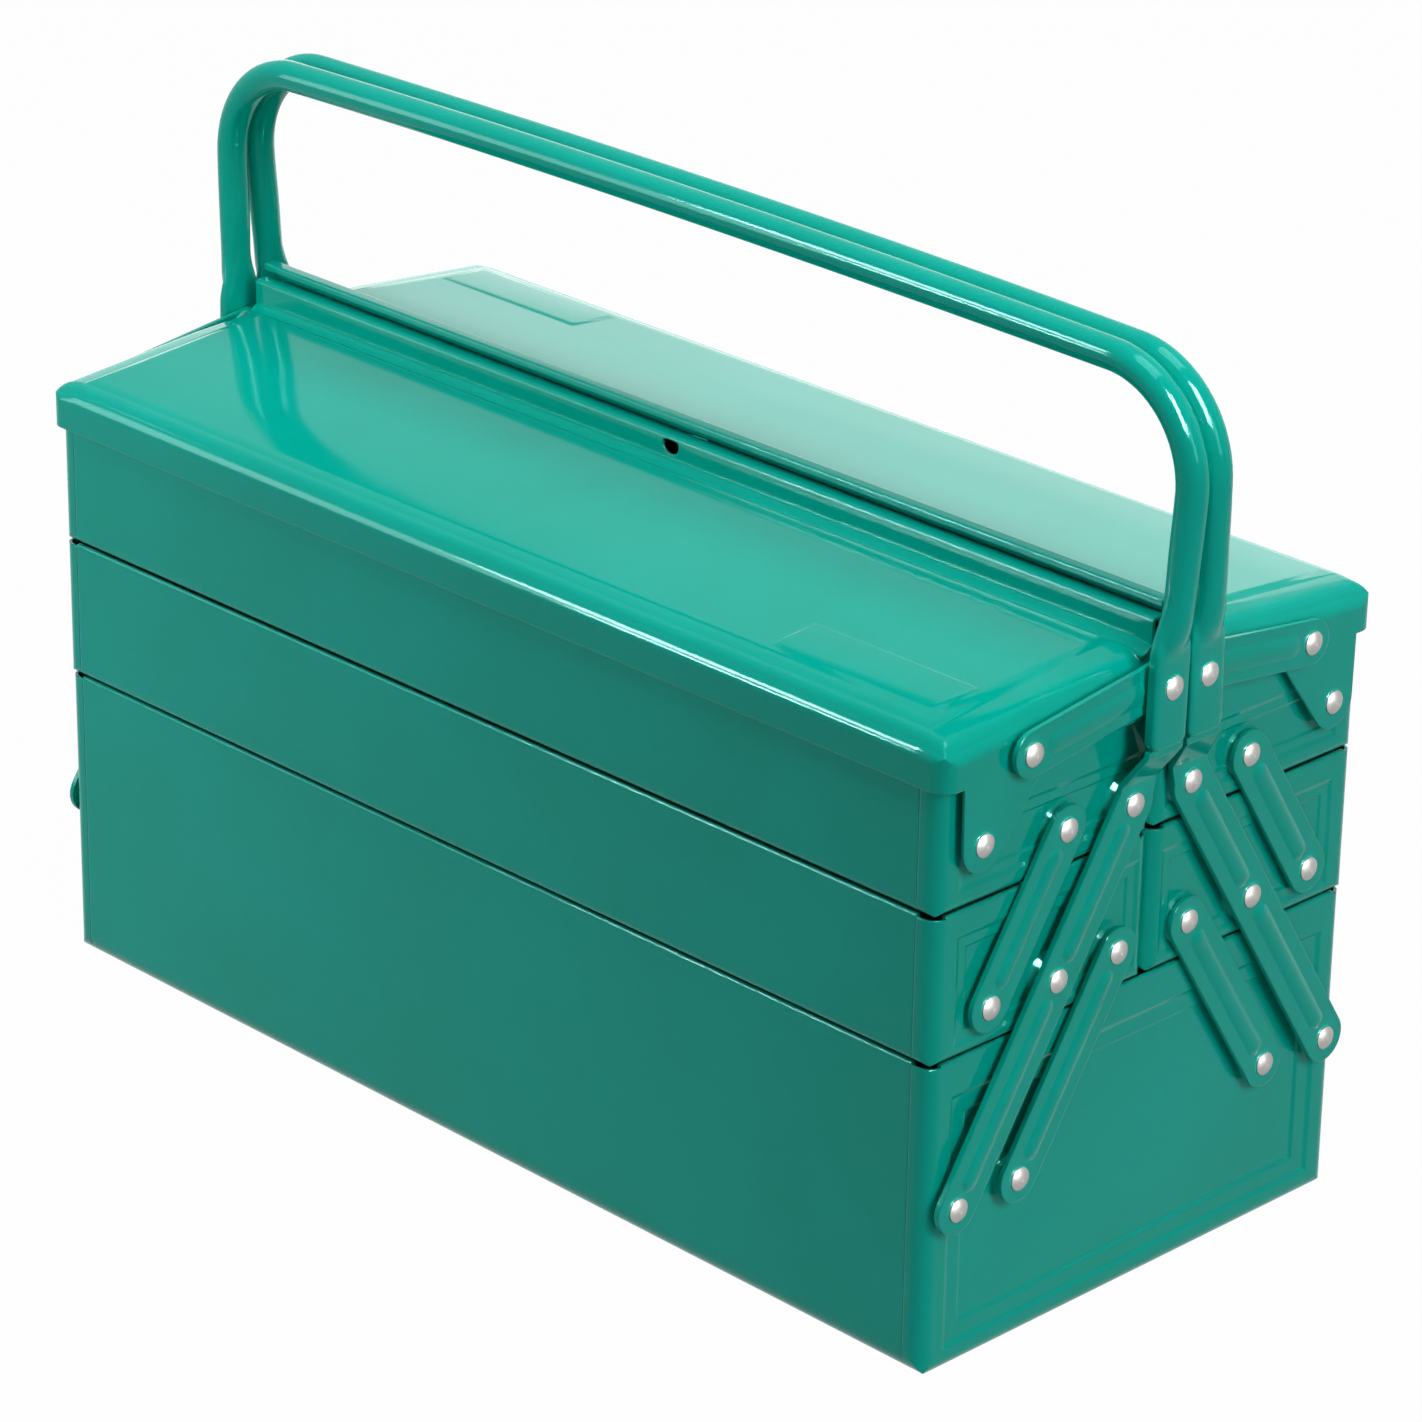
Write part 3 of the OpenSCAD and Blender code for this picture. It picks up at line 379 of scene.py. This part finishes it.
def handle_rings(end):
    """The sections of half a handle, from the middle of the bar down to the top of the slot."""
    leg_x, leg_v, leg_radius = LEGS[end]
    bend_x, bend_z = leg_x - BEND_RADIUS, BAR_Z - BEND_RADIUS
    rings = []
    for i in range(BAR_STEPS + 1):
        u = i / BAR_STEPS
        centre = Vector((bend_x * u, mix(BAR_RADIUS + BAR_GAP, leg_v, u ** 3),
                         BAR_Z + BAR_BOW * (1 - u * u)))
        rings.append(tube_ring(centre, Vector((0, 0, 1)), mix(BAR_RADIUS, leg_radius, u ** 3)))
    for i in range(1, BEND_STEPS + 1):
        a = pi / 2 * i / BEND_STEPS
        outward = Vector((sin(a), 0, cos(a)))
        centre = Vector((bend_x, leg_v, bend_z)) + BEND_RADIUS * outward
        rings.append(tube_ring(centre, outward, leg_radius))
    rings += [foot_ring(end, mix(bend_z, BULGE_TOP, i / LEG_STEPS))
              for i in range(1, LEG_STEPS + 1)]
    rings += [foot_ring(end, mix(BULGE_TOP, FOOT_HIGH, i / BULGE_STEPS))
              for i in range(1, BULGE_STEPS + 1)]
    # The flat foot, its rounded lower corners, its rolled lip, and the slot up inside it
    rings += [foot_ring(end, z) for z in (230.8, 228, 216, FOOT_LOW + CORNER)]
    rings += [foot_ring(end, FOOT_LOW + CORNER * (1 - sin(a))) for a in (0.3, 0.6, 0.9)]
    rings += [foot_ring(end, FOOT_LOW + 0.35, 0.1), foot_ring(end, FOOT_LOW + 0.1, 0.35)]
    rings += [slot_ring(FOOT_LOW + 0.1, 4.2), slot_ring(FOOT_LOW + 2, 6.5), slot_ring(228, 6.7)]
    return rings


def handle_net(side):
    """The points and faces of a whole handle, as two halves that meet at the middle of the bar."""
    verts, faces = [], []
    for end in (1, -1):
        rings = handle_rings(end)
        first = len(verts)
        for ring in rings:
            verts += [Vector((end * p.x, side * p.y, p.z)) * MM for p in ring]
        for i in range(len(rings) - 1):
            for k in range(SECTION):
                a, b = first + i * SECTION + k, first + i * SECTION + (k + 1) % SECTION
                quad = (a, b, b + SECTION, a + SECTION)
                faces.append(quad if end * side > 0 else quad[::-1])
        last = [first + (len(rings) - 1) * SECTION + k for k in range(SECTION)]
        faces.append(last if end * side > 0 else last[::-1])
    return verts, faces


def weld_middle(mesh):
    """Joins the two halves of a handle, whose first sections lie on each other."""
    net = bmesh.new()
    net.from_mesh(mesh)
    bmesh.ops.remove_doubles(net, verts=net.verts, dist=HAIR * MM)
    bmesh.ops.recalc_face_normals(net, faces=net.faces)
    net.to_mesh(mesh)
    net.free()


def add_handle(side):
    """A whole handle for the front (side -1) or back (side 1), in place of its CAD node."""
    name = "front" if side < 0 else "back"
    verts, faces = handle_net(side)
    mesh = bpy.data.meshes.new("handle")
    mesh.from_pydata(verts, [], faces)
    weld_middle(mesh)
    mesh.shade_smooth()
    mesh.set_sharp_from_angle(angle=radians(HANDLE_CREASE))
    handle = bpy.data.objects.new(name + "_handle_tube", mesh)
    bpy.context.scene.collection.objects.link(handle)
    paint(handle, ENAMEL)
    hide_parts(name + "_handle")
    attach(handle, name + "_arms")


# ---- lids ----

# Levels of the flat CAD lid: foot of the skirt, top sheet, panels and ledge
SKIRT_Z, SHEET_Z, PANEL_Z, LEDGE_Z = 208.1, 222, 225.2, 239.5
# The real lid is pitched: it rises by PITCH from its long edge to the foot of the ridge wall, as
# the photograph shows
PITCH, PITCH_OUTER, PITCH_INNER = 7.4, 97, 12
# The ends roll off softly: reach of the roll from the end, and how far it drops there
LID_END, ROLL, ROLL_DROP = 221, 15, 2.2
# The padlock hole in the ridge wall keeps most of its height: its lowest and highest level, each
# with the share of the rise there
HOLE_STEPS = (228.9, 0.54), (236.9, 0.31)
# The pressed panels stand higher than in the CAD lid by this share of their height, set so that
# their lines show, and reach that height this far from the foot of the ridge wall
RELIEF, RELIEF_START = 0.7, 4
# Where the flat lid is cut across and along, so that it can bend there
CROSS_CUTS = range(207, 220, 2)
LONG_CUTS = (PITCH_INNER, 40, 68, PITCH_OUTER)
# Edges that turn more than this many degrees stay sharp
LID_CREASE = 28


def pitched(point):
    """Where a point of the flat CAD lid lies in the pitched one; both are in metres."""
    x, v, z = point.x / MM, abs(point.y) / MM, point.z / MM
    rise = PITCH * clamp((PITCH_OUTER - v) / (PITCH_OUTER - PITCH_INNER))
    inward = min((LID_END - abs(x)) / ROLL, 1)
    rise -= ROLL_DROP * (1 - inward) ** 2
    height = min(max(z - SHEET_Z, 0), PANEL_Z - SHEET_Z)
    rise += RELIEF * height * clamp((v - PITCH_INNER) / RELIEF_START)
    share = clamp((z - SKIRT_Z) / (SHEET_Z - SKIRT_Z))
    if z > PANEL_Z:
        steps = ((PANEL_Z, 1), *HOLE_STEPS, (LEDGE_Z, 0), (LEDGE_Z + 99, 0))
        for (z0, share0), (z1, share1) in zip(steps, steps[1:]):
            if z0 < z <= z1:
                share = mix(share0, share1, (z - z0) / (z1 - z0))
    return Vector((x, point.y / MM, z + rise * share)) * MM


def cut_across(net, axis, place):
    """Cuts a mesh by the plane at place along axis 0, 1 or 2."""
    point = [place if i == axis else 0 for i in range(3)]
    normal = [1 if i == axis else 0 for i in range(3)]
    bmesh.ops.bisect_plane(net, geom=net.verts[:] + net.edges[:] + net.faces[:], dist=HAIR * MM,
                           plane_co=point, plane_no=normal)


def add_lid(name):
    """A pitched lid with soft ends, in place of the flat CAD lid that its mesh starts from."""
    net = bmesh.new()
    net.from_mesh(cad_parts[name].data)
    bmesh.ops.remove_doubles(net, verts=net.verts, dist=2 * HAIR * MM)
    cuts = [(0, x * end) for end in (-1, 1) for x in CROSS_CUTS]
    cuts += [(1, v * side) for side in (-1, 1) for v in LONG_CUTS]
    cuts += [(2, z) for z in (SKIRT_Z, SHEET_Z, PANEL_Z, LEDGE_Z)]
    for axis, place in cuts:
        cut_across(net, axis, place * MM)
    for vert in net.verts:
        vert.co = pitched(vert.co)
    mesh = bpy.data.meshes.new(name + "_sheet")
    net.to_mesh(mesh)
    net.free()
    mesh.shade_smooth()
    mesh.set_sharp_from_angle(angle=radians(LID_CREASE))
    lid = bpy.data.objects.new(name + "_sheet", mesh)
    bpy.context.scene.collection.objects.link(lid)
    weigh = lid.modifiers.new("weighted_normals", "WEIGHTED_NORMAL")
    weigh.keep_sharp = True
    paint(lid, ENAMEL)
    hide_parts(name)
    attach(lid, name + "_panel")


# ---- the box ----

add_camera()
add_floor()
add_world()
add_lights()

ENAMEL = green_enamel()
NICKEL = nickel_plate()
for node in ENAMEL_NODES:
    paint(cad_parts[node], ENAMEL)
for node in STEEL_NODES:
    paint(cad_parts[node], NICKEL)
for side in (-1, 1):
    add_handle(side)
for name in ("front_lid", "back_lid"):
    add_lid(name)

bpy.context.scene.view_settings.view_transform = "Standard"
